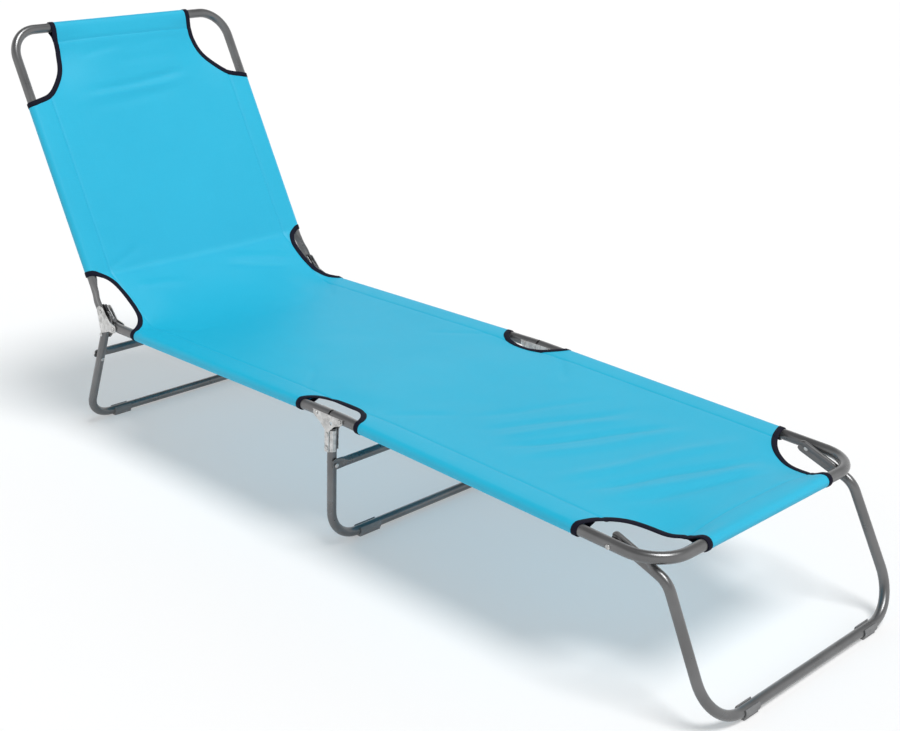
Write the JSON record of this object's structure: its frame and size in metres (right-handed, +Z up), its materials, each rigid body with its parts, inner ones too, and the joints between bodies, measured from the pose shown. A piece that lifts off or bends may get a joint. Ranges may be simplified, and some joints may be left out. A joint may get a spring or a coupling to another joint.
{
  "type": "folding sun lounger",
  "caption": "Folding sun lounger in three fabric-covered sections on U-shaped tube legs, with a ratchet backrest and T-shaped hinge brackets.",
  "frame": {"origin": "on the floor, in the middle of the lounger's length and width", "axes": "+X towards the foot end, +Y across the width, +Z up; nodes named left are on the -Y side"},
  "size_m": [1.7254, 0.5266, 0.7636],
  "materials": {
    "tube_paint": "silver grey powder coat, satin",
    "zinc": "zinc plated, satin",
    "dark_steel": "dark oiled",
    "spring_steel": "bright",
    "foot_plastic": "matt moulded",
    "washer_plastic": "matt",
    "fabric": "woven polyester, matt",
    "edge_tape": "woven binding tape, matt"
  },
  "bodies": {
    "seat": {"seat_rail_left": "tube_paint", "seat_rail_right": "tube_paint", "head_bracket_outer_left": "zinc", "head_bracket_outer_right": "zinc", "head_bracket_inner_left": "zinc", "head_bracket_inner_right": "zinc", "click_spring_left": "spring_steel", "click_spring_right": "spring_steel", "backrest_pivot_rivet_left": "zinc", "backrest_pivot_rivet_right": "zinc", "head_bracket_rivet_left": "zinc", "head_bracket_rivet_right": "zinc", "head_leg_pivot_rivet_left": "zinc", "head_leg_pivot_rivet_right": "zinc", "seat_fabric": "fabric"},
    "backrest": {"backrest_frame": "tube_paint", "recline_disc_left": "dark_steel", "recline_disc_right": "dark_steel", "backrest_fabric": "fabric"},
    "head_leg": {"head_leg": "tube_paint", "head_leg_crossbar": "tube_paint", "head_leg_crossbar_rivet_left": "zinc", "head_leg_crossbar_rivet_right": "zinc", "head_leg_foot_left": "foot_plastic", "head_leg_foot_right": "foot_plastic"},
    "middle_leg": {"middle_leg": "tube_paint", "middle_leg_crossbar": "tube_paint", "middle_leg_crossbar_rivet_left": "zinc", "middle_leg_crossbar_rivet_right": "zinc", "tee_bracket_outer_left": "zinc", "tee_bracket_outer_right": "zinc", "tee_bracket_inner_left": "zinc", "tee_bracket_inner_right": "zinc", "tee_seat_pivot_rivet_left": "zinc", "tee_seat_pivot_rivet_right": "zinc", "tee_foot_pivot_rivet_left": "zinc", "tee_foot_pivot_rivet_right": "zinc", "tee_stem_rivet_upper_left": "zinc", "tee_stem_rivet_upper_right": "zinc", "tee_stem_rivet_lower_left": "zinc", "tee_stem_rivet_lower_right": "zinc", "middle_leg_foot_left": "foot_plastic", "middle_leg_foot_right": "foot_plastic"},
    "foot_section": {"foot_frame": "tube_paint", "foot_fabric": "fabric", "front_leg_pivot_rivet_left": "zinc", "front_leg_pivot_rivet_right": "zinc", "front_leg_washer_left": "washer_plastic", "front_leg_washer_right": "washer_plastic"},
    "front_leg": {"front_leg": "tube_paint", "front_leg_foot_left": "foot_plastic", "front_leg_foot_right": "foot_plastic"}
  },
  "joints": [
    {"name": "backrest_recline", "type": "hinge", "parent": "seat", "child": "backrest", "pos_m": [-0.57739, 0, 0.25991], "axis": [0, 1, 0], "range_deg": [-62, 117.5]},
    {"name": "head_leg_fold", "type": "hinge", "parent": "seat", "child": "head_leg", "pos_m": [-0.58565, 0, 0.21078], "axis": [0, -1, 0], "range_deg": [0, 113]},
    {"name": "middle_leg_fold", "type": "hinge", "parent": "seat", "child": "middle_leg", "pos_m": [0.05993, 0, 0.24347], "axis": [0, -1, 0], "range_deg": [0, 90]},
    {"name": "foot_fold", "type": "hinge", "parent": "middle_leg", "child": "foot_section", "pos_m": [0.11793, 0, 0.24347], "axis": [0, -1, 0], "range_deg": [0, 90]},
    {"name": "front_leg_fold", "type": "hinge", "parent": "foot_section", "child": "front_leg", "pos_m": [0.67372, 0, 0.22811], "axis": [0, 1, 0], "range_deg": [0, 125]}
  ],
  "couplings": [
    {"joint": "foot_fold", "follows": "middle_leg_fold", "ratio": 1}
  ]
}
